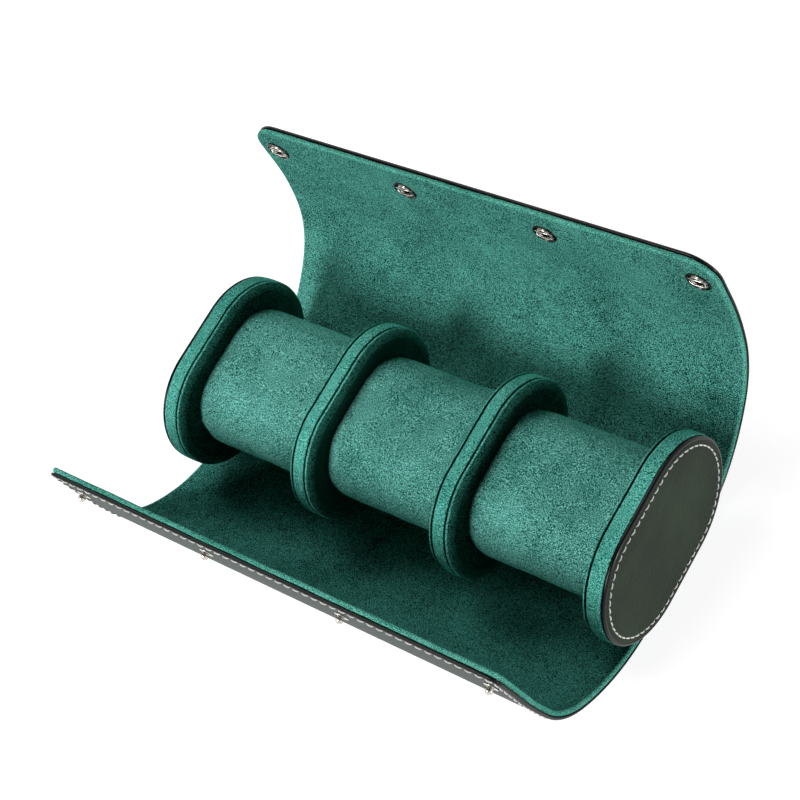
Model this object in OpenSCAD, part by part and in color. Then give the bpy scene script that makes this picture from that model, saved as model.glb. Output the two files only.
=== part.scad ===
// Roll-up watch travel case, shown unrolled.
// A flexible leather wrap with a board stiffener and a velvet lining lies in a wide U.
// Four padded oval discs stand on its base, with three watch cushions between them.
// Both sides of the wrap are rows of panels, each hinged to the next along its lining side.
// Rolled up, the front side lies over the discs and the flap snaps on top of it.
// X runs along the roll, Y from the front side to the flap, Z up; the origin is on the floor.

/* [Wrap] */
// How far the wrap is longer than the row of discs, at each end
wrap_past = 1; // [0:0.5:6]
// Half of the flat base between the two first hinges
base_half = 20; // [14:0.5:30]
// Length of each front panel, along the curve
front_panel = 22.6; // [16:0.1:30]
// Length of each flap panel, along the curve
flap_panel = 24.6; // [18:0.1:34]
// Thickness of the outer leather
leather_t = 1.2; // [0.8:0.1:2]
// Thickness of the stiffening board
board_t = 1; // [0.6:0.1:2]
// Thickness of the velvet lining
lining_t = 1.1; // [0.6:0.1:2]
// Distance from the wrap's edges to the board
board_inset = 3; // [2:0.5:6]
// Corner radius of the flap
flap_corner = 12; // [6:1:22]
// Corner radius of the front side
front_corner = 4; // [3.5:0.5:12]

/* [Folds] */
// Bend of the first front panel, degrees
front_turn_1 = 20.5; // [5:0.5:45]
// Bend of the second front panel, degrees
front_turn_2 = 20; // [5:0.5:45]
// Bend of the third front panel, degrees
front_turn_3 = 39.5; // [5:0.5:45]
// Bend of the fourth front panel, degrees
front_turn_4 = 5.5; // [5:0.5:45]
// Bend of the first flap panel, degrees
flap_turn_1 = 26.5; // [5:0.5:45]
// Bend of the second flap panel, degrees
flap_turn_2 = 19; // [5:0.5:45]
// Bend of the third flap panel, degrees
flap_turn_3 = 32.5; // [5:0.5:45]
// Bend of the fourth flap panel, degrees
flap_turn_4 = 12; // [5:0.5:45]
// Gap between two panels at the lining
fold_gap = 0.3; // [0.2:0.05:0.6]
// Slope of the panel ends, which lets a fold open a little further, degrees
fold_bevel = 3; // [2:0.5:6]

/* [Discs] */
// Width of a disc, front to back
disc_w = 82; // [70:1:96]
// Height of a disc
disc_h = 58; // [48:1:66]
// Thickness of a disc, with its leather cap on the end ones
disc_t = 10; // [8:0.5:14]
// Distance from one disc to the next
disc_pitch = 67; // [40:1:90]
// How far the row of discs and cushions is set off the wrap's middle, along X
row_shift = 5.4; // [0:0.1:8]
// Radius of the rolled velvet edges
bead_r = 1.3; // [0.8:0.1:1.5]
// Width of the seam groove beside each rolled edge
seam_w = 0.4; // [0.3:0.1:0.8]
// Depth of the seam groove
seam_depth = 0.8; // [0.4:0.1:1.2]
// Thickness of the velvet over a disc's faces
cover_t = 1; // [0.6:0.1:1.5]
// Thickness of a leather end cap
cap_t = 1.6; // [1:0.1:2.2]
// Distance from the disc's outline to the leather end cap
cap_inset = 0.4; // [0.2:0.1:2]

/* [Cushions] */
// Width of a cushion, front to back
cushion_w = 61; // [50:1:68]
// Height of a cushion
cushion_h = 43; // [36:1:46]
// Rounding of the cushion's two ends
cushion_edge = 3; // [2:0.5:5]
// Thickness of the velvet over the foam
cushion_cover_t = 1.5; // [1:0.1:1.8]

/* [Snaps] */
// Number of snaps
snap_count = 4; // [2:1:6]
// Distance from the wrap's ends to the outer snaps
snap_margin = 9; // [6.5:0.5:30]
// Distance from the front edge to the studs
stud_inset = 15; // [9:0.25:18]
// Distance from the flap's edge to the sockets
socket_inset = 13.2; // [12:0.1:17]
// Radius of a stud's flange
flange_r = 3.4; // [3:0.1:4.5]
// Thickness of a stud's flange
flange_t = 0.6; // [0.4:0.1:0.8]
// Radius of a stud's neck
neck_r = 1.5; // [1.2:0.1:1.7]
// Radius of a stud's head
head_r = 2.2; // [2:0.05:2.25]
// Thickness of a stud's rounded head
head_h = 1.4; // [1:0.1:1.8]
// Height of a stud above the leather
stud_h = 3.2; // [2.8:0.1:4]
// Radius of a rivet through the wrap
rivet_r = 1.4; // [1:0.1:1.6]
// Outer radius of a socket ring
ring_r = 5.25; // [4.9:0.05:6]
// Inner radius of a socket ring
ring_bore_r = 3.9; // [3.8:0.05:4.2]
// Height of a socket ring above the lining
ring_h = 1.4; // [1.3:0.1:2]
// Thickness of a socket's floor and cup wall
cup_t = 0.4; // [0.3:0.05:0.5]
// Thickness of a spring bar, as a radius
spring_r = 0.35; // [0.25:0.05:0.4]
// Gap between a stud's head and each spring bar
spring_gap = 0.3; // [0.25:0.05:0.35]
// Radius of the outer caps
cap_r = 5.5; // [4.5:0.1:7]
// Radius of the sphere that domes the outer caps
cap_dome_r = 14; // [10:0.5:24]

/* [Hidden] */
$fn = 64;
leather_colour = "#4f5d57";
board_colour = "#9a8f7c";
velvet_colour = "#3f8f80";
foam_colour = "#e8e2cf";
metal_colour = "#c9ccd0";
sheet_t = leather_t + board_t + lining_t;
wrap_length = 3 * disc_pitch + disc_t + 2 * wrap_past;
snap_pitch = (wrap_length - 2 * snap_margin) / (snap_count - 1);
front_turns = [front_turn_1, front_turn_2, front_turn_3, front_turn_4, 0];
flap_turns = [flap_turn_1, flap_turn_2, flap_turn_3, flap_turn_4, 0];
last = len(front_turns) - 1;
cushion_l = disc_pitch - disc_t;
disc_z = sheet_t + disc_h / 2;
bead_w = 2 * bead_r + seam_w;
disc_rim = 3.5;
cap_band = 2;
core_inset = 2.7;
bar_off = head_r + spring_gap + spring_r;
cup_bore_r = ring_bore_r - 1;
cup_r = cup_bore_r + cup_t;
bar_z = cup_t + spring_r + 0.1;
cup_floor = lining_t + board_t;
weld = 0.2;

// ---- Wrap: where each panel starts, as distance from the middle and height ----

function rad(a) = a * PI / 180;
function turn_to(turns, i) = i <= 0 ? 0 : turn_to(turns, i - 1) + turns[i - 1];
function spin(p, a) = [p[0] * cos(a) - p[1] * sin(a), p[0] * sin(a) + p[1] * cos(a)];
function reach(len, turn) =
    turn == 0 ? [len, 0] : [len / rad(turn) * sin(turn), len / rad(turn) * (1 - cos(turn))];
function panel_start(len, turns, i) =
    i <= 0 ? [base_half, sheet_t]
           : panel_start(len, turns, i - 1) + spin(reach(len, turns[i - 1]), turn_to(turns, i - 1));
function panel_len(side) = side < 0 ? front_panel : flap_panel;
function panel_turns(side) = side < 0 ? front_turns : flap_turns;
function panel_corner(side) = side < 0 ? front_corner : flap_corner;

// Places its children on panel i of one side: Y follows the panel, Z is its lining side
module on_panel(side, i) {
    start = panel_start(panel_len(side), panel_turns(side), i);
    mirror([0, side < 0 ? 1 : 0, 0])
        translate([0, start[0], start[1]])
            rotate([turn_to(panel_turns(side), i), 0, 0])
                children();
}

// One layer of a bent panel, from depth d1 to depth d2 below the lining's surface
module bent_profile(len, turn, d1, d2, gap) {
    r = len / rad(turn);
    a0 = asin(gap / 2 / r);
    a1 = turn - a0;
    k = tan(fold_bevel);
    near = -1;
    far = 3 * sheet_t;
    intersection() {
        translate([0, r])
            difference() {
                circle(r = r + d2, $fn = 180);
                circle(r = r + d1, $fn = 180);
            }
        polygon([
            for (e = [[a0, near, k], [a0, far, k], [a1, far, -k], [a1, near, -k]])
                [0, r] + r * [sin(e[0]), -cos(e[0])]
                    + e[1] * ([sin(e[0]), -cos(e[0])] + e[2] * [cos(e[0]), sin(e[0])])
        ]);
    }
}

// One layer of a flat last panel, which is square at its free end
module flat_profile(d1, d2, stop, gap) {
    g = gap / 2;
    k = tan(fold_bevel);
    polygon([[g + d1 * k, -d1], [stop, -d1], [stop, -d2], [g + d2 * k, -d2]]);
}

// The outline of a last panel with rounded corners, seen square on
module last_outline(len, half, r) {
    translate([-half, -1])
        square([2 * half, len - r + 1]);
    translate([-half + r, 0])
        square([2 * half - 2 * r, len]);
    for (s = [-1, 1])
        translate([s * (half - r), len - r])
            circle(r = r);
}

// One layer of a panel, inset from the wrap's free edges; gap is left open at the folds
module panel_layer(side, i, d1, d2, inset, gap = fold_gap) {
    len = panel_len(side);
    turn = panel_turns(side)[i];
    half = wrap_length / 2 - inset;
    on_panel(side, i) {
        if (i < last) {
            translate([-half, 0, 0])
                rotate([90, 0, 90])
                    linear_extrude(height = 2 * half)
                        bent_profile(len, turn, d1, d2, gap);
        } else {
            intersection() {
                translate([-half, 0, 0])
                    rotate([90, 0, 90])
                        linear_extrude(height = 2 * half)
                            flat_profile(d1, d2, len - inset, gap);
                translate([0, 0, -2 * sheet_t])
                    linear_extrude(height = 3 * sheet_t)
                        last_outline(len - inset, half, panel_corner(side) - inset);
            }
        }
    }
}

// Straight holes through a last panel at the snaps
module snap_holes(side, r, d1, d2) {
    inset = side < 0 ? stud_inset : socket_inset;
    on_panel(side, last)
        for (n = [0 : snap_count - 1])
            translate([snap_x(n), panel_len(side) - inset, -d2])
                cylinder(r = r, h = d2 - d1, $fn = 48);
}

function snap_x(n) = (n - (snap_count - 1) / 2) * snap_pitch;

module base_layer(d1, d2, inset, gap = fold_gap) {
    half = wrap_length / 2 - inset;
    g = gap / 2;
    k = tan(fold_bevel);
    translate([-half, 0, sheet_t])
        rotate([90, 0, 90])
            linear_extrude(height = 2 * half)
                polygon([
                    [-base_half + g + d1 * k, -d1], [base_half - g - d1 * k, -d1],
                    [base_half - g - d2 * k, -d2], [-base_half + g + d2 * k, -d2]
                ]);
}

module base_board() {
    color(board_colour) base_layer(lining_t, lining_t + board_t, board_inset);
}

// The leather covers the board's outer face and closes in around its edges
module base_leather() {
    color(leather_colour)
        difference() {
            base_layer(lining_t, sheet_t, 0);
            base_layer(lining_t - weld, lining_t + board_t, board_inset, 0);
        }
}

module base_lining() {
    color(velvet_colour) base_layer(0, lining_t, 0);
}

module board_panel(side, i) {
    color(board_colour)
        difference() {
            panel_layer(side, i, lining_t, lining_t + board_t, board_inset);
            if (i == last)
                snap_holes(side, side < 0 ? rivet_r : cup_r, lining_t - 1, sheet_t);
        }
}

module leather_panel(side, i) {
    color(leather_colour)
        difference() {
            panel_layer(side, i, lining_t, sheet_t, 0);
            panel_layer(side, i, lining_t - weld, lining_t + board_t, board_inset, 0);
            if (i == last)
                snap_holes(side, rivet_r, lining_t - 1, sheet_t + 1);
        }
}

module lining_panel(side, i) {
    color(velvet_colour)
        difference() {
            panel_layer(side, i, 0, lining_t, 0);
            if (i == last && side > 0)
                snap_holes(side, cup_r, -1, lining_t + 1);
        }
}

module front_1_leather() { leather_panel(-1, 0); }
module front_2_leather() { leather_panel(-1, 1); }
module front_3_leather() { leather_panel(-1, 2); }
module front_4_leather() { leather_panel(-1, 3); }
module front_5_leather() { leather_panel(-1, 4); }
module front_1_board() { board_panel(-1, 0); }
module front_2_board() { board_panel(-1, 1); }
module front_3_board() { board_panel(-1, 2); }
module front_4_board() { board_panel(-1, 3); }
module front_5_board() { board_panel(-1, 4); }
module front_1_lining() { lining_panel(-1, 0); }
module front_2_lining() { lining_panel(-1, 1); }
module front_3_lining() { lining_panel(-1, 2); }
module front_4_lining() { lining_panel(-1, 3); }
module front_5_lining() { lining_panel(-1, 4); }
module flap_1_leather() { leather_panel(1, 0); }
module flap_2_leather() { leather_panel(1, 1); }
module flap_3_leather() { leather_panel(1, 2); }
module flap_4_leather() { leather_panel(1, 3); }
module flap_5_leather() { leather_panel(1, 4); }
module flap_1_board() { board_panel(1, 0); }
module flap_2_board() { board_panel(1, 1); }
module flap_3_board() { board_panel(1, 2); }
module flap_4_board() { board_panel(1, 3); }
module flap_5_board() { board_panel(1, 4); }
module flap_1_lining() { lining_panel(1, 0); }
module flap_2_lining() { lining_panel(1, 1); }
module flap_3_lining() { lining_panel(1, 2); }
module flap_4_lining() { lining_panel(1, 3); }
module flap_5_lining() { lining_panel(1, 4); }

// ---- Ovals: two half-circle ends joined by straight sides ----

module oval(w, h) {
    k = (w - h) / 2;
    for (s = [-1, 1])
        translate([s * k, 0])
            circle(r = h / 2, $fn = 120);
    square([2 * k, h], center = true);
}

// Sweeps a 2-D profile around an oval; x = 0 of the profile lies on the oval's edge
module oval_sweep(w, h) {
    k = (w - h) / 2;
    for (s = [0, 180])
        rotate([0, 0, s]) {
            translate([k, 0, 0])
                rotate([0, 0, -90])
                    rotate_extrude(angle = 180, $fn = 120)
                        translate([h / 2, 0])
                            children();
            translate([-k, h / 2, 0])
                rotate([90, 0, 90])
                    linear_extrude(height = 2 * k)
                        children();
        }
}

// Stands its children up along X, centred on the discs' height
module stand(x) {
    translate([x, 0, disc_z])
        rotate([90, 0, 90])
            children();
}

function disc_x(n) = row_shift + (n - 2.5) * disc_pitch - disc_t / 2;

// Half-section of a disc's rim: rolled edges, seam grooves and the band between them
module rim_profile(t) {
    translate([-disc_rim, 0])
        square([disc_rim - bead_r, t]);
    translate([-disc_rim, bead_r])
        square([disc_rim - seam_depth, t - 2 * bead_r]);
    for (y = [bead_r, t - bead_r])
        translate([-bead_r, y])
            circle(r = bead_r, $fn = 32);
    translate([-disc_rim, bead_w])
        square([disc_rim, t - 2 * bead_w]);
}

module disc_solid(t) {
    linear_extrude(height = t)
        oval(disc_w - 2 * disc_rim + weld, disc_h - 2 * disc_rim + weld);
    oval_sweep(disc_w, disc_h)
        rim_profile(t);
}

module disc_core_solid(t) {
    translate([0, 0, cover_t])
        linear_extrude(height = t - 2 * cover_t)
            oval(disc_w - 2 * core_inset, disc_h - 2 * core_inset);
}

// Discs 1 and 4 carry a leather cap on the outer face, so their padding is thinner
function padding_t(n) = n == 1 || n == 4 ? disc_t - cap_t : disc_t;
function padding_x(n) = disc_x(n) + (n == 1 ? cap_t : 0);

module disc_cover(n) {
    color(velvet_colour)
        stand(padding_x(n))
            difference() {
                disc_solid(padding_t(n));
                disc_core_solid(padding_t(n));
            }
}

module disc_core(n) {
    color(board_colour) stand(padding_x(n)) disc_core_solid(padding_t(n));
}

module disc_1_cover() { disc_cover(1); }
module disc_2_cover() { disc_cover(2); }
module disc_3_cover() { disc_cover(3); }
module disc_4_cover() { disc_cover(4); }
module disc_1_core() { disc_core(1); }
module disc_2_core() { disc_core(2); }
module disc_3_core() { disc_core(3); }
module disc_4_core() { disc_core(4); }

// A leather cap: flat plate with a rounded outer edge
module end_cap() {
    w = disc_w - 2 * cap_inset;
    h = disc_h - 2 * cap_inset;
    edge = 0.35 * cap_t;
    linear_extrude(height = cap_t)
        oval(w - 2 * cap_band + weld, h - 2 * cap_band + weld);
    oval_sweep(w, h) {
        translate([-cap_band, 0])
            square([cap_band - edge, cap_t]);
        translate([-cap_band, edge])
            square([cap_band, cap_t - 2 * edge]);
        for (y = [edge, cap_t - edge])
            translate([-edge, y])
                circle(r = edge, $fn = 32);
    }
}

module end_cap_left() {
    color(leather_colour) stand(disc_x(1)) end_cap();
}

module end_cap_right() {
    color(leather_colour) stand(disc_x(4) + disc_t - cap_t) end_cap();
}

// A cushion fills the slot between two discs; its ends are rounded over
module cushion_solid() {
    e = cushion_edge;
    band = e + 1;
    linear_extrude(height = cushion_l)
        oval(cushion_w - 2 * band + weld, cushion_h - 2 * band + weld);
    oval_sweep(cushion_w, cushion_h) {
        translate([-band, e])
            square([band, cushion_l - 2 * e]);
        translate([-band, 0])
            square([band - e, cushion_l]);
        for (y = [e, cushion_l - e])
            translate([-e, y])
                circle(r = e, $fn = 48);
    }
}

module foam_solid() {
    d = cushion_cover_t;
    translate([0, 0, d])
        linear_extrude(height = cushion_l - 2 * d)
            oval(cushion_w - 2 * d, cushion_h - 2 * d);
}

module cushion_cover(n) {
    color(velvet_colour)
        stand(disc_x(n) + disc_t)
            difference() {
                cushion_solid();
                foam_solid();
            }
}

module cushion_foam(n) {
    color(foam_colour) stand(disc_x(n) + disc_t) foam_solid();
}

module cushion_1_cover() { cushion_cover(1); }
module cushion_2_cover() { cushion_cover(2); }
module cushion_3_cover() { cushion_cover(3); }
module cushion_1_foam() { cushion_foam(1); }
module cushion_2_foam() { cushion_foam(2); }
module cushion_3_foam() { cushion_foam(3); }

// ---- Snaps: studs outside the front edge, sockets inside the flap, caps outside it ----

// Places its children at each snap of a side, with Z out of the leather
module at_snaps(side) {
    inset = side < 0 ? stud_inset : socket_inset;
    on_panel(side, last)
        for (n = [0 : snap_count - 1])
            translate([snap_x(n), panel_len(side) - inset, -sheet_t])
                rotate([180, 0, 0])
                    children();
}

// A stud: flange on the leather, neck, rounded head, and a rivet that ends under the lining
module stud() {
    round_r = head_h / 2;
    tail = leather_t + board_t;
    rotate_extrude($fn = 64) {
        translate([0, -tail])
            square([rivet_r, tail + flange_t]);
        square([flange_r, flange_t]);
        square([neck_r, stud_h - round_r]);
        translate([0, stud_h - head_h])
            square([head_r - round_r, head_h]);
        translate([head_r - round_r, stud_h - round_r])
            circle(r = round_r, $fn = 48);
    }
}

module snap_studs() {
    color(metal_colour) at_snaps(-1) stud();
}

// A socket: ring on the lining and a cup sunk through the lining and the board
module socket() {
    z0 = -sheet_t;
    difference() {
        union() {
            translate([0, 0, z0 - ring_h])
                cylinder(r = ring_r, h = ring_h, $fn = 64);
            translate([0, 0, z0])
                cylinder(r = cup_r, h = cup_floor, $fn = 64);
        }
        translate([0, 0, z0 - ring_h - 1])
            cylinder(r = ring_bore_r, h = ring_h + 1 - cup_t, $fn = 64);
        translate([0, 0, z0 - cup_t - 1])
            cylinder(r = cup_bore_r, h = cup_t + 1 + cup_floor - cup_t, $fn = 64);
    }
}

module snap_sockets() {
    color(metal_colour) at_snaps(1) socket();
}

// Two straight spring bars across the ring, one each side of the stud's neck
module spring_bars() {
    half = sqrt(pow(ring_bore_r, 2) - pow(bar_off + spring_r, 2));
    for (s = [-1, 1])
        translate([-half, s * bar_off, -sheet_t - bar_z])
            rotate([0, 90, 0])
                cylinder(r = spring_r, h = 2 * half, $fn = 24);
}

module snap_springs() {
    color(metal_colour) at_snaps(1) spring_bars();
}

// A domed cap outside the flap, with a rivet down to the socket's cup
module snap_cap() {
    sag = cap_dome_r - sqrt(pow(cap_dome_r, 2) - pow(cap_r, 2));
    intersection() {
        translate([0, 0, sag - cap_dome_r + 0.4])
            sphere(r = cap_dome_r, $fn = 96);
        cylinder(r = cap_r, h = sag + 1, $fn = 64);
    }
    translate([0, 0, -leather_t])
        cylinder(r = rivet_r, h = leather_t + 0.3, $fn = 48);
}

module snap_caps() {
    color(metal_colour) at_snaps(1) snap_cap();
}

base_leather();
base_board();
base_lining();
front_1_leather();
front_1_board();
front_1_lining();
front_2_leather();
front_2_board();
front_2_lining();
front_3_leather();
front_3_board();
front_3_lining();
front_4_leather();
front_4_board();
front_4_lining();
front_5_leather();
front_5_board();
front_5_lining();
flap_1_leather();
flap_1_board();
flap_1_lining();
flap_2_leather();
flap_2_board();
flap_2_lining();
flap_3_leather();
flap_3_board();
flap_3_lining();
flap_4_leather();
flap_4_board();
flap_4_lining();
flap_5_leather();
flap_5_board();
flap_5_lining();
disc_1_cover();
disc_2_cover();
disc_3_cover();
disc_4_cover();
disc_1_core();
disc_2_core();
disc_3_core();
disc_4_core();
end_cap_left();
end_cap_right();
cushion_1_cover();
cushion_2_cover();
cushion_3_cover();
cushion_1_foam();
cushion_2_foam();
cushion_3_foam();
snap_studs();
snap_sockets();
snap_springs();
snap_caps();
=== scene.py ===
import math
import bpy, bmesh
from mathutils import Matrix, Vector, noise


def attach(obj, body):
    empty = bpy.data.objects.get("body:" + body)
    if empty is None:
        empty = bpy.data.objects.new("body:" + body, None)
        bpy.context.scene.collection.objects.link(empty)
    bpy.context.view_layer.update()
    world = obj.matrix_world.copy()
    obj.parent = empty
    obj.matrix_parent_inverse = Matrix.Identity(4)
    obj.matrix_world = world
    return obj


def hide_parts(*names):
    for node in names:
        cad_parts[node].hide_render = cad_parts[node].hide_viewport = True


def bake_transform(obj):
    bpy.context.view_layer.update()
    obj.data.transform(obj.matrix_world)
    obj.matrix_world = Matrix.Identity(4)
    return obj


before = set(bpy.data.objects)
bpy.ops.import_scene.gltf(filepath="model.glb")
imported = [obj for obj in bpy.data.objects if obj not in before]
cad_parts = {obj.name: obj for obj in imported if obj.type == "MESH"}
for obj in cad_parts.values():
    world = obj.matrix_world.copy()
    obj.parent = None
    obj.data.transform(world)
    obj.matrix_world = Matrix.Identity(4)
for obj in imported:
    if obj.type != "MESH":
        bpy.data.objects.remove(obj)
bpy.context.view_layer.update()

# ---- Outer leather of the wrap ----
# The wrap is one sheet of pebbled PU leather glued over a board, 213 mm along the roll.
# It is cut to a front side and a flap that share the flat base, and its cut edges are
# turned in and painted black. Strips meet on the panels' middle lines, where they don't bend.
wrap_half = 0.1065
base_half = 0.020
sheet_t = 0.0033
panel_count = 5
# way along Y, a panel's length, the folds' turns in degrees from the base out, corner radius
panels = {
    "front": (-1, 0.0226, (20.5, 20, 39.5, 5.5, 0), 0.004),
    "flap": (1, 0.0246, (26.5, 19, 32.5, 12, 0), 0.012),
}


def on_sheet(side, s, x, depth):
    """The point s along the sheet from the middle of the base, depth below the lining's face."""
    sign, length, turns, _ = panels[side]
    y, z, head = min(s, base_half), sheet_t, 0.0
    s -= base_half
    for number, turn in enumerate(turns, 1):
        if s <= 0:
            break
        # past the last panel the sheet runs on straight
        step = s if number == panel_count else min(s, length)
        bend = math.radians(turn) * min(step, length) / length
        if turn:
            r = length / math.radians(turn)
            run, rise = r * math.sin(bend), r * (1 - math.cos(bend))
        else:
            run, rise = step, 0.0
        y += run * math.cos(head) - rise * math.sin(head)
        z += run * math.sin(head) + rise * math.cos(head)
        head += bend
        s -= length
    y += depth * math.sin(head)
    z -= depth * math.cos(head)
    return Vector((x, sign * y, z))


def out_of_sheet(side, s, x):
    """The way straight out of the leather there."""
    return (on_sheet(side, s, x, sheet_t + 0.001) - on_sheet(side, s, x, sheet_t)).normalized()


def sheet_end(side):
    return base_half + panel_count * panels[side][1]


def strips(side):
    """Start and stop of each strip, its two bodies, and where its bend starts and ends."""
    length = panels[side][1]
    lines = [base_half + (i + 0.5) * length for i in range(panel_count)]
    names = ["base"] + [f"{side}_{i}" for i in range(1, panel_count + 1)]
    out = []
    for i in range(panel_count):
        start = lines[i - 1] if i else 0.0
        stop = lines[i] if i < panel_count - 1 else sheet_end(side)
        bend = (lines[i - 1] if i else base_half - length / 2, lines[i])
        out.append((start, stop, names[i], names[i + 1], bend))
    return out


def edge_stations(side, start, stop, spacing=0.0016):
    """Places along one end edge of a strip: s, x, and the way out of the sheet there."""
    r = panels[side][3]
    free = stop == sheet_end(side)
    flat = stop - r if free else stop
    n = max(2, round((flat - start) / spacing))
    rows = [(start + (flat - start) * i / n, wrap_half, 0.0, 1.0) for i in range(n + 1)]
    if free:
        steps = 6 if r < 0.01 else 12
        for i in range(1, steps + 1):
            a = math.pi / 2 * i / steps
            s, x = flat + r * math.sin(a), wrap_half - r + r * math.cos(a)
            rows.append((s, x, math.sin(a), math.cos(a)))
    return rows, free


def sheet_layer(name, side, start, stop, border, across=44, swell=0.0):
    """One layer of a strip: two faces and a border profile of (way out, depth, material)."""
    rows, free = edge_stations(side, start, stop)
    sign = panels[side][0]
    slow, quick = 38, 90  # a soft layer's swells, to the metre
    mesh = bmesh.new()

    def point(s, x, depth):
        if swell:
            lift = noise.noise(Vector((x * slow, s * slow * sign, 3.1)))
            lift += 0.5 * noise.noise(Vector((x * quick, s * quick * sign, 7.7)))
            depth = depth - swell * lift
        return mesh.verts.new(on_sheet(side, s, x, depth))

    rings = {}
    for hand in (1, -1):
        rings[hand] = [[point(s + out * ns, hand * (x + out * nx), depth) for out, depth, _ in border]
                       for s, x, ns, nx in rows]
    ends = []
    s_end, x_end = rows[-1][0], rows[-1][1]
    if free:
        for q in range(1, across):
            x = x_end * (1 - 2 * q / across)
            ends.append([point(s_end + out, x, depth) for out, depth, _ in border])

    def grid(index):
        out, depth, _ = border[index]
        lines = []
        for j, (s, x, ns, nx) in enumerate(rows):
            inner = x + out * nx
            if free and j == len(rows) - 1:
                middle = [e[index] for e in ends]
            else:
                middle = [point(s + out * ns, inner * (1 - 2 * q / across), depth)
                          for q in range(1, across)]
            lines.append([rings[1][j][index]] + middle + [rings[-1][j][index]])
        return lines

    outer, inner = grid(0), grid(-1)
    for lines, number in ((outer, border[0][2]), (inner, border[-1][2])):
        for a, b in zip(lines, lines[1:]):
            for q in range(across):
                mesh.faces.new((a[q], a[q + 1], b[q + 1], b[q])).material_index = number
    loops = [list(zip(rings[hand], rings[hand][1:])) for hand in (1, -1)]
    if free:
        whole = [rings[1][-1]] + ends + [rings[-1][-1]]
        loops.append(list(zip(whole, whole[1:])))
    for loop in loops:
        for a, b in loop:
            for i in range(len(border) - 1):
                mesh.faces.new((a[i], a[i + 1], b[i + 1], b[i])).material_index = border[i][2]
    for j in ([0] if free else [0, -1]):
        around = outer[j] + rings[-1][j][1:-1] + inner[j][::-1] + rings[1][j][1:-1][::-1]
        mesh.faces.new(around).material_index = border[-1][2]
    bmesh.ops.recalc_face_normals(mesh, faces=mesh.faces)
    return finish_mesh(name, mesh)


def finish_mesh(name, mesh, crease=50):
    data = bpy.data.meshes.new(name)
    mesh.to_mesh(data)
    mesh.free()
    data.polygons.foreach_set("use_smooth", [True] * len(data.polygons))
    data.set_sharp_from_angle(angle=math.radians(crease))
    piece = bpy.data.objects.new(name, data)
    bpy.context.scene.collection.objects.link(piece)
    return piece


def lathe(mesh, outline, place, around=40, number=0):
    """Turns an outline of (radius, height) about its axis and puts it at a place."""
    rings = []
    for radius, height in outline:
        turns = [0.0] if radius < 1e-6 else [math.tau * k / around for k in range(around)]
        spots = [Vector((radius * math.cos(a), radius * math.sin(a), height)) for a in turns]
        rings.append([mesh.verts.new(place @ spot) for spot in spots])
    for r, q in zip(rings, rings[1:]):
        for k in range(around):
            corners = [r[k % len(r)], r[(k + 1) % len(r)], q[(k + 1) % len(q)], q[k % len(q)]]
            unique = list(dict.fromkeys(corners))
            if len(unique) > 2:
                mesh.faces.new(unique).material_index = number


snap_count, snap_pitch, socket_inset = 4, 0.065, 0.0132


def snap_places(side, inset):
    """A frame for each snap: Z out of the leather, X along the wrap."""
    s = sheet_end(side) - inset
    foot = on_sheet(side, s, 0, sheet_t)
    up = out_of_sheet(side, s, 0)
    along = Vector((1, 0, 0))
    over = up.cross(along)
    turn = Matrix((along, over, up)).transposed().to_4x4()
    steps = [(i - (snap_count - 1) / 2) * snap_pitch for i in range(snap_count)]
    return [Matrix.Translation(foot + along * step) @ turn for step in steps]


def bake(piece):
    """Applies what the piece's modifiers give, so that none is left on it."""
    seen = piece.evaluated_get(bpy.context.evaluated_depsgraph_get())
    data = bpy.data.meshes.new_from_object(seen)
    piece.modifiers.clear()
    piece.data = data


def punch(piece):
    """Cuts the pockets that the snap sockets sit in, 6.8 mm across, out of a layer of the flap."""
    pocket_r, low, high = 0.0034, -0.0050, -0.0011
    mesh = bmesh.new()
    for place in snap_places("flap", socket_inset):
        lathe(mesh, [(0.0, low), (pocket_r, low), (pocket_r, high), (0.0, high)], place)
    bmesh.ops.recalc_face_normals(mesh, faces=mesh.faces)
    tool = finish_mesh("punch", mesh)
    hole = piece.modifiers.new("pockets", "BOOLEAN")
    hole.object, hole.operation, hole.solver = tool, "DIFFERENCE", "EXACT"
    bake(piece)
    bpy.data.objects.remove(tool)


def wear(piece, *materials):
    """Gives the piece its materials, in the order of its faces' numbers."""
    for material in materials:
        piece.data.materials.append(material)


def linear(code):
    """An sRGB hex code as linear red, green, blue and alpha."""
    parts = [int(code[i:i + 2], 16) / 255 for i in (1, 3, 5)]
    return [p / 12.92 if p <= 0.04045 else ((p + 0.055) / 1.055) ** 2.4 for p in parts] + [1.0]


def put(material, kind, inputs=None, **settings):
    """Adds a node; an input is a value or the socket that feeds it."""
    tree = material.node_tree
    made = tree.nodes.new(kind)
    for key, value in settings.items():
        setattr(made, key, value)
    for key, value in (inputs or {}).items():
        if isinstance(value, bpy.types.NodeSocket):
            tree.links.new(value, made.inputs[key])
        else:
            made.inputs[key].default_value = value
    return made


def bare(name):
    """A material with no nodes yet."""
    material = bpy.data.materials.new(name)
    material.use_nodes = True
    material.node_tree.nodes.clear()
    return material


def shade(material, inputs):
    """Ends a material with the surface that these inputs describe."""
    surface = put(material, "ShaderNodeBsdfPrincipled", inputs)
    put(material, "ShaderNodeOutputMaterial", {"Surface": surface.outputs["BSDF"]})
    return material


def ramp(node, *stops):
    """Sets a colour ramp's stops: position and sRGB code."""
    band = node.color_ramp
    while len(band.elements) < len(stops):
        band.elements.new(0.5)
    for element, (place, code) in zip(band.elements, stops):
        element.position = place
        element.color = linear(code)
    return node.outputs["Color"]


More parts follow.
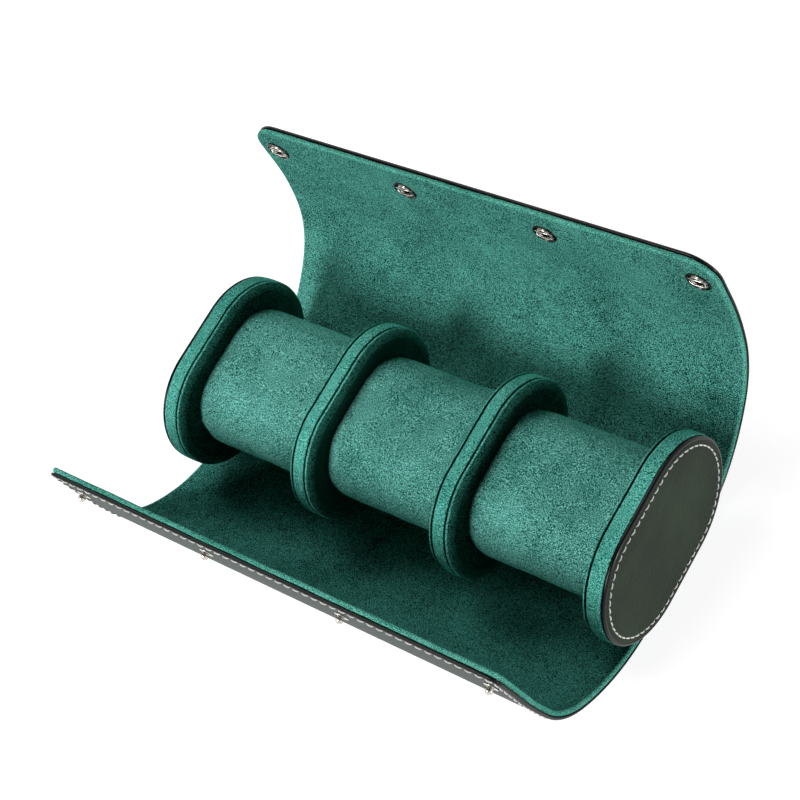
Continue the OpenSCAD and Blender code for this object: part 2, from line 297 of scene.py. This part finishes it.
def pebbled_leather(name, low, middle, high, gloss, level=0.2):
    """PU leather, embossed with pebbles near 0.9 mm across, so it has a soft broken gloss."""
    made = bare(name)
    place = put(made, "ShaderNodeTexCoord").outputs["Object"]
    cloud = put(made, "ShaderNodeTexNoise", {"Vector": place, "Scale": 45.0, "Detail": 3.0})
    colour = ramp(put(made, "ShaderNodeValToRGB", {"Fac": cloud.outputs["Fac"]}),
                  (0.3, low), (0.5, middle), (0.72, high))
    pebble = put(made, "ShaderNodeTexVoronoi", {"Vector": place, "Scale": 1100.0}, feature="SMOOTH_F1")
    pore = put(made, "ShaderNodeTexNoise", {"Vector": place, "Scale": 2600.0, "Detail": 2.0})
    relief = put(made, "ShaderNodeMix", {0: 0.35, 2: pebble.outputs["Distance"], 3: pore.outputs["Fac"]})
    bump = put(made, "ShaderNodeBump", {
        "Height": relief.outputs[0], "Strength": 0.35, "Distance": 0.0005})
    rough = put(made, "ShaderNodeMapRange", {
        "Value": cloud.outputs["Fac"], "To Min": gloss - 0.06, "To Max": gloss + 0.08})
    return shade(made, {
        "Base Color": colour, "Roughness": rough.outputs["Result"],
        "Normal": bump.outputs["Normal"], "IOR": 1.5, "Specular IOR Level": level})


wrap_leather = pebbled_leather("PU leather, pebble embossed, wrap", "#2E3934", "#34403A", "#3C4943", 0.55)


def edge_paint():
    """Acrylic edge paint, brushed on in beads and polished, so it is black with a narrow gloss."""
    made = bare("edge paint, brushed and polished")
    place = put(made, "ShaderNodeTexCoord").outputs["Object"]
    drag = put(made, "ShaderNodeTexNoise", {"Vector": place, "Scale": 700.0, "Detail": 2.0})
    bump = put(made, "ShaderNodeBump", {
        "Height": drag.outputs["Fac"], "Strength": 0.15, "Distance": 0.0002})
    return shade(made, {
        "Base Color": linear("#050605"), "Roughness": 0.25, "Normal": bump.outputs["Normal"],
        "Specular IOR Level": 0.2})


black_edge = edge_paint()
# from the outer face over the painted edge to the inner face: way out, depth, material
leather_border = [
    (-0.00060, 0.00330, 0), (-0.00034, 0.00328, 1), (-0.00022, 0.00318, 1), (-0.00030, 0.00308, 1),
    (-0.00010, 0.00296, 1), (0.00002, 0.00276, 1), (0.00003, 0.00256, 1), (-0.00004, 0.00238, 1),
    (-0.00018, 0.00222, 1), (-0.00060, 0.00210, 1), (-0.00095, 0.00196, 1), (-0.00095, 0.00110, 1),
]
for side in panels:
    for number, (start, stop, a, b, bend) in enumerate(strips(side), 1):
        piece = sheet_layer(f"wrap_leather_{side}_{number}", side, start, stop, leather_border)
        if (side, number) == ("flap", panel_count):
            punch(piece)
        wear(piece, wrap_leather, black_edge)
        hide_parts(f"{side}_{number}_leather", f"{side}_{number}_board")
        if number == 1:
            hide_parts("base_leather", "base_board")
        on_sheet(side, bend[0], 0, 0)
        on_sheet(side, bend[1], 0, 0)
        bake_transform(piece)

# ---- Velvet lining of the wrap ----
# Short-pile velvet on a thin foam, glued over the board's inner face and cut a little
# short of the painted edge, where its pile brushes up in a fringe painted brighter as a painted sheen.
def velvet(name, dark, middle, light, painted_sheen):
    """Velvet, woven and sheared: dark gaps between light tufts 0.3 mm apart, a pile that lies in
    soft patches, and a painted sheen: the colour turns a lighter teal where the cloth is seen along it."""
    made = bare(name)
    place = put(made, "ShaderNodeTexCoord").outputs["Object"]
    patch = put(made, "ShaderNodeTexNoise", {
        "Vector": place, "Scale": 30.0, "Detail": 3.0, "Roughness": 0.6})
    nap = put(made, "ShaderNodeTexNoise", {"Vector": place, "Scale": 140.0, "Detail": 2.0})
    tuft = put(made, "ShaderNodeTexNoise", {
        "Vector": place, "Scale": 3200.0, "Detail": 1.0, "Roughness": 0.6})
    lay = put(made, "ShaderNodeMapRange", {
        "Value": patch.outputs["Fac"], "From Min": 0.3, "From Max": 0.7, "To Min": -0.2, "To Max": 0.2})
    comb = put(made, "ShaderNodeMapRange", {
        "Value": nap.outputs["Fac"], "From Min": 0.3, "From Max": 0.7, "To Min": -0.05, "To Max": 0.05})
    speck = put(made, "ShaderNodeMapRange", {
        "Value": tuft.outputs["Fac"], "From Min": 0.42, "From Max": 0.58, "To Min": 0.0, "To Max": 1.0})
    both = put(made, "ShaderNodeMath", {
        0: lay.outputs["Result"], 1: comb.outputs["Result"]}, operation="ADD")
    lie = put(made, "ShaderNodeMath", {
        0: speck.outputs["Result"], 1: both.outputs["Value"]}, operation="ADD")
    face = ramp(put(made, "ShaderNodeValToRGB", {"Fac": lie.outputs["Value"]}),
                (0.08, dark), (0.5, middle), (0.92, light))
    # painted sheen: the base colour is mixed toward a lighter teal where the cloth is seen edge-on
    along = put(made, "ShaderNodeLayerWeight", {"Blend": 0.35})
    edge = put(made, "ShaderNodeMapRange", {
        "Value": along.outputs["Facing"], "From Min": 0.6, "From Max": 0.95, "To Min": 0.0, "To Max": 0.5})
    colour = put(made, "ShaderNodeMix", {
        "Factor": edge.outputs["Result"], "A": face, "B": linear(painted_sheen)}, data_type="RGBA")
    bump = put(made, "ShaderNodeBump", {
        "Height": tuft.outputs["Fac"], "Strength": 0.6, "Distance": 0.0008})
    return shade(made, {
        "Base Color": colour.outputs["Result"], "Roughness": 1.0, "Normal": bump.outputs["Normal"],
        "Specular IOR Level": 0.0, "Sheen Weight": 0.15, "Sheen Roughness": 0.4,
        "Sheen Tint": linear("#6FD8C4")})


lining_velvet = velvet("velvet, sheared pile, lining", "#031F1A", "#1D675D", "#7CDCCB", "#269480")
# painted shade: a darker copy of the lining's velvet for the front side
shaded_velvet = velvet("velvet, sheared pile, front lining, painted shade",
                       "#011614", "#154D45", "#62C2B2", "#267F70")
# painted sheen: the fringe's velvet is a much lighter copy of the lining's
lining_fringe_sheen = velvet("velvet, cut edge brushed up, painted sheen", "#125F52", "#38AC96", "#8CE6D2", "#38BCA2")
# from the pile's face out over the brushed edge and back under it: way out, depth, material
lining_border = [
    (-0.0016, 0.0, 0), (-0.0010, -0.00012, 1), (-0.0004, -0.00006, 1), (-0.00005, 0.0002, 1),
    (0.00008, 0.0007, 1), (0.00006, 0.0012, 1), (-0.00012, 0.0016, 1), (-0.0006, 0.00178, 1),
    (-0.0009, 0.0014, 1),
]
for side in panels:
    for number, (start, stop, a, b, bend) in enumerate(strips(side), 1):
        piece = sheet_layer(f"wrap_lining_{side}_{number}", side, start, stop, lining_border,
                            across=60, swell=0.00018)
        if (side, number) == ("flap", panel_count):
            punch(piece)
        wear(piece, lining_velvet if side == "flap" else shaded_velvet, lining_fringe_sheen)
        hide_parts(f"{side}_{number}_lining")
        if number == 1:
            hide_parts("base_lining")
        on_sheet(side, bend[0], 0, 0)
        on_sheet(side, bend[1], 0, 0)
        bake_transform(piece)

# ---- Topstitching around the wrap ----
# Off-white polyester thread, lockstitched 2.3 mm inside the wrap's edges, 3.5 mm long
# stitches on a 4.2 mm pitch; each one dips into the leather at its needle holes.
def stitch(mesh, points, outward, thick=0.0003):
    """A short thread through the points, pinched at both ends and a little flattened."""
    around, pinched, flat = 8, 0.62, 0.8
    rings = []
    for i, p in enumerate(points):
        ahead = points[min(i + 1, len(points) - 1)] - points[max(i - 1, 0)]
        across = ahead.cross(outward).normalized()
        fat = thick * (pinched if i in (0, len(points) - 1) else 1.0)
        rings.append([mesh.verts.new(p + (across * math.cos(a) + outward * math.sin(a) * flat) * fat)
                      for a in [math.tau * k / around for k in range(around)]])
    for r, q in zip(rings, rings[1:]):
        for k in range(around):
            mesh.faces.new((r[k], r[(k + 1) % around], q[(k + 1) % around], q[k]))
    mesh.faces.new(rings[0][::-1])
    mesh.faces.new(rings[-1])


def seam_path(side, inset):
    """The seam's line on one side of the wrap, as s and x: up one end, along the edge and down."""
    straight, corner = 60, 12
    r = max(panels[side][3] - inset, 0.001)
    top = sheet_end(side) - inset
    half = wrap_half - inset
    right = [((top - r) * i / straight, half) for i in range(straight)]
    for i in range(corner + 1):
        a = math.pi / 2 * i / corner
        right.append((top - r + r * math.sin(a), half - r + r * math.cos(a)))
    return right + [(s, -x) for s, x in right[::-1]]


def even_stitches(path, pitch):
    """Start and end distances of equal stitches along a path, and a function from distance to place."""
    spots = [0.0]
    for p, q in zip(path, path[1:]):
        spots.append(spots[-1] + math.dist(p, q))
    total = spots[-1]

    def at(d):
        d = min(max(d, 0.0), total)
        lo, hi = 0, len(spots) - 1
        while hi - lo > 1:
            mid = (lo + hi) // 2
            lo, hi = (mid, hi) if spots[mid] <= d else (lo, mid)
        t = (d - spots[lo]) / max(spots[hi] - spots[lo], 1e-9)
        return tuple(u + (v - u) * t for u, v in zip(path[lo], path[hi]))

    count = round(total / pitch)
    step = total / count
    hole = step * 0.08
    return [(i * step + hole, (i + 1) * step - hole) for i in range(count)], at


def thread():
    """Bonded polyester thread, three-ply and waxed, so it is off-white with a dull gloss."""
    made = bare("polyester thread, twisted and waxed")
    place = put(made, "ShaderNodeTexCoord").outputs["Object"]
    ply = put(made, "ShaderNodeTexWave", {
        "Vector": place, "Scale": 900.0, "Distortion": 2.0}, bands_direction="DIAGONAL")
    colour = ramp(put(made, "ShaderNodeValToRGB", {"Fac": ply.outputs["Fac"]}),
                  (0.0, "#F0F0EA"), (0.5, "#FFFFFC"))
    bump = put(made, "ShaderNodeBump", {
        "Height": ply.outputs["Fac"], "Strength": 0.4, "Distance": 0.0001})
    return shade(made, {"Base Color": colour, "Roughness": 0.6, "Normal": bump.outputs["Normal"]})


seam_thread = thread()
seam_inset, seam_pitch = 0.0023, 0.0042
pressed = 0.00018  # under the base the case's weight presses the stitches into the leather
rise = (-0.00022, 0.00012, 0.00024, 0.00026, 0.00024, 0.00012, -0.00022)  # along one stitch
for side in panels:
    rows, at = even_stitches(seam_path(side, seam_inset), seam_pitch)
    for number, (start, stop, a, b, bend) in enumerate(strips(side), 1):
        mesh = bmesh.new()
        for d0, d1 in rows:
            s_mid = at((d0 + d1) / 2)[0]
            if not start <= s_mid < stop + 1e-6:
                continue
            points = []
            for i, h in enumerate(rise):
                s, x = at(d0 + (d1 - d0) * i / (len(rise) - 1))
                points.append(on_sheet(side, s, x, sheet_t + h))
                points[-1].z = max(points[-1].z, pressed)
            s, x = at((d0 + d1) / 2)
            stitch(mesh, points, out_of_sheet(side, s, x))
        piece = finish_mesh(f"wrap_stitches_{side}_{number}", mesh, 180)
        wear(piece, seam_thread)
        on_sheet(side, bend[0], 0, 0)
        on_sheet(side, bend[1], 0, 0)
        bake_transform(piece)

# ---- Snap studs ----
# Nickel-plated brass ball studs outside the front edge: a rolled flange on the leather,
# a neck and a rounded head, riveted through leather and board.
def bead(radius, height, r, start, stop, steps=6):
    """Points of an arc of a turned outline, angles in degrees."""
    turns = [math.radians(start + (stop - start) * i / steps) for i in range(steps + 1)]
    return [(radius + r * math.cos(a), height + r * math.sin(a)) for a in turns]


def plated(name, code, rough):
    """Brass, stamped, tumbled and plated with bright or black nickel: a gloss with faint rub marks."""
    made = bare(name)
    place = put(made, "ShaderNodeTexCoord").outputs["Object"]
    rub = put(made, "ShaderNodeTexNoise", {"Vector": place, "Scale": 900.0, "Detail": 3.0})
    finish = put(made, "ShaderNodeMapRange", {
        "Value": rub.outputs["Fac"], "To Min": rough, "To Max": rough + 0.18})
    bump = put(made, "ShaderNodeBump", {
        "Height": rub.outputs["Fac"], "Strength": 0.08, "Distance": 0.0001})
    return shade(made, {
        "Base Color": linear(code), "Metallic": 1.0, "Roughness": finish.outputs["Result"],
        "Normal": bump.outputs["Normal"]})


nickel = plated("nickel plate, tumbled", "#C9C5BE", 0.1)
stud_inset, flange_r, roll_r, ball_r = 0.015, 0.0027, 0.0002, 0.0016
stud = [(0.0, 0.0), (flange_r, 0.0)] + bead(flange_r, roll_r, roll_r, -90, 90)
stud += [(0.0020, 0.00046), (0.0015, 0.0006), (0.00128, 0.0008)]
stud += bead(0.0, ball_r, ball_r, -38, 90, 14)
mesh = bmesh.new()
for place in snap_places("front", stud_inset):
    lathe(mesh, stud, place)
bmesh.ops.recalc_face_normals(mesh, faces=mesh.faces)
piece = finish_mesh("snap_studs_turned", mesh, 60)
wear(piece, nickel)
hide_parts("snap_studs")
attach(piece, "front_5")

# ---- Snap sockets and their springs ----
# Stamped brass sockets in pockets of the lining near the flap's edge: a black nickel rim, a
# bright rolled collar and a cup made black as painted shade in its hole. Two bent spring wires
# lie across each cup and grip the stud's neck.
black_nickel_and_hole_shade = plated("black nickel plate, tumbled, and painted hole shade", "#353432", 0.1)
rim = bead(0.0047, -0.0036, 0.00032, 60, -100)
rim += [(0.0044, -0.0037), (0.0042, -0.00345), (0.0036, -0.00342)]
collar = [rim[-1]] + bead(0.0028, -0.0037, 0.0004, 40, -190) + [(0.0023, -0.0035)]
cup = [collar[-1], (0.0022, -0.0018), (0.0, -0.0017), (0.0, -0.0012), (0.0033, -0.0012),
       (0.0033, -0.0032), rim[0]]
# one spring wire's bends in mm: along the wrap, off the cup's middle, in from the leather
wire_bends = [(-3.9, 0.8, 3.6), (-3.3, 1.5, 3.95), (-1.8, 1.75, 4.2), (0, 1.75, 4.2), (1.8, 1.75, 4.2),
              (3.3, 1.5, 3.95), (3.9, 0.8, 3.6)]
mesh = bmesh.new()
wires = bmesh.new()
for place in snap_places("flap", socket_inset):
    # the cup's black plate is painted shade in the socket's hole
    for outline, number in ((rim, 1), (collar, 0), (cup, 1)):
        lathe(mesh, outline, place, 48, number)
    for hand in (-1, 1):
        line = [Vector((x * 0.001, hand * y * 0.001, -z * 0.001)) for x, y, z in wire_bends]
        stitch(wires, [place @ p for p in line], place.to_3x3() @ Vector((0, 0, 1)), thick=0.00035)
bmesh.ops.remove_doubles(mesh, verts=mesh.verts, dist=1e-7)
bmesh.ops.recalc_face_normals(mesh, faces=mesh.faces)
piece = finish_mesh("snap_socket_rings", mesh, 40)
wear(piece, nickel, black_nickel_and_hole_shade)
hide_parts("snap_sockets")
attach(piece, "flap_5")
piece = finish_mesh("snap_socket_wires", wires, 60)
wear(piece, nickel)
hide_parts("snap_springs")
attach(piece, "flap_5")

# ---- Snap caps ----
# Domed caps outside the flap, of stamped brass with nickel plate and a rolled rim. Each is
# riveted through leather and board to the socket on the other side.
dome = [(0.0, 0.0)] + bead(0.0052, 0.00032, 0.00032, -90, 70)
dome += [(0.0046, 0.00085), (0.0036, 0.00122), (0.0024, 0.00145), (0.0012, 0.00156), (0.0, 0.0016)]
mesh = bmesh.new()
for place in snap_places("flap", socket_inset):
    lathe(mesh, dome, place, 48)
bmesh.ops.recalc_face_normals(mesh, faces=mesh.faces)
piece = finish_mesh("snap_caps_domed", mesh, 50)
wear(piece, nickel)
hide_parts("snap_caps")
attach(piece, "flap_5")

# ---- Oval discs ----
# Four boards padded with foam and covered in the lining's velvet. A narrow rolled edge is
# sewn to the band on both sides, and the sewing pulls a groove between them.
disc_w, disc_h, disc_t, pitch = 0.082, 0.058, 0.010, 0.067
disc_z = sheet_t + disc_h / 2
row_x = 0.0054  # the row of discs sits off the wrap's middle
cap_t = 0.0016


def oval_ring(w, h, inset, ends=34, sides=9):
    """Points of an oval of half-circle ends and straight sides, inset all round: y, z, way out."""
    k, r = (w - h) / 2, h / 2 - inset
    ring = []
    for hand, first in ((1, -90), (-1, 90)):
        for i in range(ends):
            a = math.radians(first + 180 * i / ends)
            ring.append((hand * k + r * math.cos(a), r * math.sin(a), math.cos(a), math.sin(a)))
        for i in range(sides):
            t = 1 - 2 * i / sides
            ring.append((hand * k * t, hand * r, 0.0, float(hand)))
    return ring


def oval_solid(name, profile, w, h, centre_z, ends=34, sides=9, wobble=None):
    """Sweeps a profile of (inset, x, material) round an oval and closes both faces."""
    mesh = bmesh.new()
    rings = []
    for index, (inset, x, _) in enumerate(profile):
        ring = []
        for y, z, oy, oz in oval_ring(w, h, inset, ends, sides):
            push = wobble(index, y, z, x) if wobble else 0.0
            ring.append(mesh.verts.new((x, y + push * oy, z + push * oz + centre_z)))
        rings.append(ring)
    n = len(rings[0])
    for (r, q), (_, _, number) in zip(zip(rings, rings[1:]), profile):
        for k in range(n):
            mesh.faces.new((r[k], r[(k + 1) % n], q[(k + 1) % n], q[k])).material_index = number
    for ring, number in ((rings[0], profile[0][2]), (rings[-1], profile[-1][2])):
        # the last narrow oval is closed straight across: its two round ends, then its middle
        for first in (0, ends + sides):
            for k in range(ends // 2):
                a, b = ring[first + k], ring[(first + k + 1) % n]
                c, d = ring[(first + ends - k - 1) % n], ring[(first + ends - k) % n]
                if len({a, b, c, d}) == 4:
                    mesh.faces.new((a, b, c, d)).material_index = number
        for k in range(sides):
            a, b = ring[ends + k], ring[(ends + k + 1) % n]
            c, d = ring[(n - k - 1) % n], ring[(n - k) % n]
            mesh.faces.new((a, b, c, d)).material_index = number
    bmesh.ops.recalc_face_normals(mesh, faces=mesh.faces)
    return finish_mesh(name, mesh, 70)


def disc_profile(x0, t, capped):
    """Insets and x of a padded disc from the middle of one face, over the rim, to the other.

    A side under an end cap is glued flat and has no rolled edge or groove."""
    roll_w, roll_t = 0.0042, 0.0015
    face = [(0.0284, 0.0), (0.0262, 0.0), (0.0225, 0.0), (0.0180, 0.0), (0.0135, 0.0), (0.0095, 0.0),
            (0.0065, 0.00002), (0.0048, 0.00005)]
    turns = [math.radians(a) for a in (5, 18, 31, 44, 56, 68, 79, 90)]
    roll = [(roll_w - roll_w * math.sin(a), roll_t - 0.00145 * math.cos(a)) for a in turns]
    groove = [(0.00012, 0.00166), (0.00060, 0.00180), (0.00140, 0.00190), (0.00140, 0.00216),
              (0.00060, 0.00234), (0.00010, 0.00256), (-0.00006, 0.00300)]
    glued = [(0.0016, 0.0), (0.0006, 0.00002), (0.0002, 0.00012), (0.00002, 0.0004), (0.0, 0.0009)]
    first, last = [face + (glued if flat else roll + groove) for flat in capped]

    def pile(k, flat):
        """The velvet on the k-th ring of a side: 0 the band's, painted lighter as painted light; 1 the
        face's and 2 the roll's, painted darker as painted shade.
        """
        if flat:
            return 1 if k < len(face) + 1 else 0
        if k < len(face) or len(face + roll) <= k < len(face + roll + groove) - 2:
            return 1
        return 2 if k < len(face) + 5 else 0

    near = [(i, x0 + x, pile(k, capped[0])) for k, (i, x) in enumerate(first)]
    band = [(-0.00008, x0 + t / 2, 0)]
    away = [(i, x0 + t - x, pile(len(last) - 2 - k, capped[1])) for k, (i, x) in enumerate(last[::-1])]
    return near + band + away


# copies of one velvet: the bands' is painted light, the rolls' and faces' are painted shade
band_painted_light_velvet = velvet("velvet, sheared pile, disc bands, painted light", "#07554B", "#34AC9A", "#8CF2DF", "#33C6AC")
roll_shade_velvet = velvet("velvet, sheared pile, disc rolls, painted shade",
                     "#021B16", "#165248", "#4F9C8C", "#258373")
face_shade_velvet = velvet("velvet, sheared pile, disc faces, painted shade",
                     "#021511", "#123F37", "#407C70", "#1F6E60")
flat_rings = 8  # on each face; the cover puckers beyond them
for number in range(1, 5):
    left = row_x + (number - 2.5) * pitch - disc_t / 2
    x0 = left + (cap_t if number == 1 else 0)
    t = disc_t - (cap_t if number in (1, 4) else 0)
    profile = disc_profile(x0, t, (number == 1, number == 4))

    def pucker(index, y, z, x, seed=number):
        """Puckers some 4 mm apart along the seams, over a slow unevenness of the foam."""
        deep = 0.00012 * noise.noise(Vector((y * 260, z * 260, seed)))
        soft = 0.00022 * noise.noise(Vector((y * 45, z * 45, seed + x * 40)))
        return (deep + soft - 0.0002) if flat_rings <= index < len(profile) - flat_rings else 0.0

    piece = oval_solid(f"disc_{number}_padded", profile, disc_w, disc_h, disc_z, 60, 16, pucker)
    wear(piece, band_painted_light_velvet, face_shade_velvet, roll_shade_velvet)
    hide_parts(f"disc_{number}_cover", f"disc_{number}_core")
    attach(piece, "base")

# ---- Leather end caps ----
# Smooth leather ovals over thin foam on the outer faces of the end discs. A heated tool
# creases them just inside the painted edge, and a row of stitches holds them to the disc.
cap_leather = pebbled_leather("PU leather, smooth, end caps", "#19231A", "#232F22", "#2D3B2B", 0.5, 0.09)
cap_w, cap_h = disc_w - 0.0008, disc_h - 0.0008
cap_seam_inset, cap_seam_pitch, cap_seam_lift = 0.0033, 0.0034, 0.0015
cap_rise = (-0.0002, 0.0001, 0.00022, 0.00022, 0.0001, -0.0002)  # along one stitch
# inset, height over the disc, material: the glued back, the painted edge, the heat crease and
# the stitches' furrow, then flat to the middle
cap_outline = [
    (0.0280, 0.0, 1), (0.014, 0.0, 1),
    (0.0010, 0.0, 1), (0.0002, 0.0001, 1), (0.0, 0.0005, 1), (0.0, 0.0010, 1), (0.0003, 0.00142, 1),
    (0.0008, 0.00158, 1), (0.0012, 0.00154, 0), (0.00145, 0.00136, 0), (0.0017, 0.00152, 0),
    (0.0022, cap_t, 0), (0.0028, 0.00158, 0), (0.0033, 0.00146, 0), (0.0038, 0.00158, 0),
    (0.0052, cap_t, 0), (0.009, cap_t, 0), (0.014, cap_t, 0), (0.020, cap_t, 0),
    (0.0255, cap_t, 0), (0.0280, cap_t, 0),
]
for name, x0, hand in (("left", row_x - 1.5 * pitch - disc_t / 2 + cap_t, -1),
                       ("right", row_x + 1.5 * pitch + disc_t / 2 - cap_t, 1)):
    profile = [(inset, x0 + hand * x, number) for inset, x, number in cap_outline]
    piece = oval_solid(f"end_cap_{name}_leather", profile, cap_w, cap_h, disc_z, 60, 16)
    wear(piece, cap_leather, black_edge)
    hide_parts(f"end_cap_{name}")
    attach(piece, "base")
    path = [(y, z) for y, z, _, _ in oval_ring(cap_w, cap_h, cap_seam_inset, 60, 16)]
    rows, at = even_stitches(path + path[:1], cap_seam_pitch)
    mesh = bmesh.new()
    for d0, d1 in rows:
        points = []
        for i, h in enumerate(cap_rise):
            y, z = at(d0 + (d1 - d0) * i / (len(cap_rise) - 1))
            points.append(Vector((x0 + hand * (cap_seam_lift + h), y, z + disc_z)))
        stitch(mesh, points, Vector((hand, 0, 0)), thick=0.00033)
    piece = finish_mesh(f"end_cap_{name}_stitches", mesh, 180)
    wear(piece, seam_thread)
    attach(piece, "base")

# ---- Watch cushions ----
# Velvet pillows over foam, a little longer than the slots, so they are squeezed between
# the discs and their ends tuck in and wrinkle there.
def puff(piece, voxel, pressure, most):
    """Remeshes a pillow evenly and blows it up as cloth, with no point moved further than most."""
    last = 20
    scene = bpy.context.scene
    scene.collection.objects.unlink(piece)
    pillow = bpy.data.objects.new(piece.name + "_blown", piece.data.copy())
    scene.collection.objects.link(pillow)
    remesh = pillow.modifiers.new("even", "REMESH")
    remesh.mode, remesh.voxel_size = "VOXEL", voxel
    bake(pillow)
    rest = [v.co.copy() for v in pillow.data.vertices]
    cloth = pillow.modifiers.new("blown", "CLOTH")
    cloth.settings.quality = 5
    cloth.settings.use_pressure = True
    cloth.settings.uniform_pressure_force = pressure
    cloth.settings.effector_weights.gravity = 0
    cloth.point_cache.frame_start, cloth.point_cache.frame_end = 1, last
    for step in range(1, last + 1):
        scene.frame_set(step)
    bake(pillow)
    scene.frame_set(1)
    for v, place in zip(pillow.data.vertices, rest):
        move = v.co - place
        if move.length > most:
            v.co = place + move * (most / move.length)
    smooth = pillow.modifiers.new("smooth", "SUBSURF")
    smooth.levels = 1
    bake(pillow)
    piece.data = pillow.data
    bpy.data.objects.remove(pillow)
    scene.collection.objects.link(piece)


cushion_velvet = velvet("velvet, sheared pile, cushions", "#083F35", "#319084", "#9AF6E6", "#38B29C")
cushion_w, cushion_h, end_gap = 0.061, 0.043, 0.0003
length = pitch - disc_t
# inset and x of one half of a pillow before it is squeezed in, from the middle of its end
half = [(0.0205, -0.0052), (0.0160, -0.0052), (0.0115, -0.0052), (0.0075, -0.0051), (0.0045, -0.0048),
        (0.0024, -0.0038), (0.0014, -0.0020), (0.0011, 0.0010), (0.0010, 0.0070), (0.0010, 0.0120),
        (0.0010, 0.0175), (0.0010, 0.0230)]
for number in range(1, 4):
    x0 = row_x + (number - 2.5) * pitch + disc_t / 2
    full = [(i, x0 + x, 0) for i, x in half] + [(0.0010, x0 + length / 2, 0)]
    full += [(i, x0 + length - x, 0) for i, x in half[::-1]]

    def slack(index, y, z, x, seed=number * 3.7):
        return 0.0007 * noise.noise(Vector((x * 40, y * 40, z * 40 + seed)))

    piece = oval_solid(f"cushion_{number}_pillow", full, cushion_w, cushion_h, disc_z, 44, 12, slack)
    puff(piece, voxel=0.0045, pressure=4.0, most=0.0022)
    k, r = (cushion_w - cushion_h) / 2, cushion_h / 2
    for v in piece.data.vertices:
        y, z = v.co.y, v.co.z - disc_z
        middle = max(-k, min(k, y))
        out = Vector((y - middle, z))
        near = min(v.co.x - x0, x0 + length - v.co.x)
        # the squeezed ends wrinkle finely, and the pillow dents softly where the foam gives
        wrinkle = noise.noise(Vector((y * 330, z * 330, number * 5.1))) * 0.00035
        fold = wrinkle * math.exp(-max(near, 0) / 0.005)
        soft = noise.noise(Vector((v.co.x * 95, y * 95, z * 95))) * 0.00022
        dent = 0.0006 + 0.0012 * noise.noise(Vector((v.co.x * 42, y * 42, z * 42 + number * 9.3)))
        far = out.length
        if near > 0:
            # the ends are 2.5 mm short of the full girth, and further in it is 0.9 mm at most
            far = max(far, r - 0.0009 - 0.0016 * math.exp(-near / 0.0015))
        far = min(far, r - max(dent, 0.0)) + fold + soft
        # the cover keeps every point inside the cushion's own oval and between the discs
        far = min(far, r)
        if out.length > 1e-6:
            v.co.y = middle + out.x / out.length * far
            v.co.z = disc_z + out.y / out.length * far
        v.co.x = max(x0 + end_gap, min(x0 + length - end_gap, v.co.x))
    for face in piece.data.polygons:
        face.use_smooth = True
        face.material_index = 0
    piece.data.materials.clear()
    wear(piece, cushion_velvet)
    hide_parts(f"cushion_{number}_cover", f"cushion_{number}_foam")
    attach(piece, "base")

# ---- Studio ----
# White paper under the case and white walls around it under a dark ceiling. A large soft lamp
# stands at the front left, a weak one at the back left and a small one off the right end,
# and the camera looks down at the right end.
def shown(material):
    """1 where the background is seen: by the camera, in a gloss or through something clear."""
    path = put(material, "ShaderNodeLightPath")
    seen = put(material, "ShaderNodeMath", {
        0: path.outputs["Is Camera Ray"], 1: path.outputs["Is Glossy Ray"]}, operation="MAXIMUM")
    clear = put(material, "ShaderNodeMath", {
        0: seen.outputs["Value"], 1: path.outputs["Is Transmission Ray"]}, operation="MAXIMUM")
    return clear.outputs["Value"]


paper_w, paper_z = 6, -0.0002
bpy.ops.mesh.primitive_plane_add(size=paper_w, location=(0, 0, paper_z))
floor = bpy.context.object
floor.name = "floor"
paper = bare("paper, matt white")
plain = put(paper, "ShaderNodeBsdfDiffuse", {"Color": linear("#A0A0A0")})
white = put(paper, "ShaderNodeEmission", {"Color": (1, 1, 1, 1), "Strength": shown(paper)})
dimmed = put(paper, "ShaderNodeMixShader", {
    "Fac": 0.9, 1: plain.outputs["BSDF"], 2: white.outputs["Emission"]})
both = put(paper, "ShaderNodeAddShader", {0: plain.outputs["BSDF"], 1: dimmed.outputs["Shader"]})
put(paper, "ShaderNodeOutputMaterial", {"Surface": both.outputs["Shader"]})
floor.data.materials.append(paper)
world = bpy.data.worlds.new("studio")
bpy.context.scene.world = world
world.use_nodes = True
sky = world.node_tree.nodes["Background"]
sky.inputs["Color"].default_value = (1, 1, 1, 1)
way = put(world, "ShaderNodeTexCoord").outputs["Generated"]
up = put(world, "ShaderNodeSeparateXYZ", {"Vector": way})
wall = put(world, "ShaderNodeMapRange", {
    "Value": up.outputs["Z"], "From Min": 0.45, "From Max": 0.8, "To Min": 1.0, "To Max": 0.12})
ambient = 0.022
level = put(world, "ShaderNodeMix", {"Factor": shown(world), 2: ambient, 3: wall.outputs["Result"]})
world.node_tree.links.new(level.outputs[0], sky.inputs["Strength"])


def lamp(name, at, aim, size, power):
    """A round soft lamp: size in metres, power in watts."""
    light = bpy.data.lights.new(name, "AREA")
    light.shape, light.size, light.energy = "DISK", size, power
    piece = bpy.data.objects.new(name, light)
    bpy.context.scene.collection.objects.link(piece)
    piece.location = at
    piece.rotation_euler = (Vector(aim) - Vector(at)).to_track_quat("-Z", "Y").to_euler()


lamp("key", (-0.33, -1.00, 0.90), (0, 0, 0.04), 0.6, 14.5)
lamp("back", (-0.80, 0.46, 0.98), (0, 0, 0.04), 0.7, 6)
lamp("end", (1.30, 0.0, 0.10), (0.1, 0, 0.03), 0.18, 9)

camera = bpy.data.objects.new("camera", bpy.data.cameras.new("camera"))
bpy.context.scene.collection.objects.link(camera)
camera.data.lens, camera.data.sensor_width, camera.data.sensor_fit = 90, 36, "HORIZONTAL"
eye, aim = Vector((0.40965, -0.18261, 0.65340)), Vector((-0.01246, 0.01108, 0.040))
roll = math.radians(-38.98)
look = (aim - eye).to_track_quat("-Z", "Y").to_matrix().to_4x4()
camera.matrix_world = Matrix.Translation(eye) @ look @ Matrix.Rotation(roll, 4, "Z")
bpy.context.scene.camera = camera
bpy.context.scene.view_settings.view_transform = "Standard"
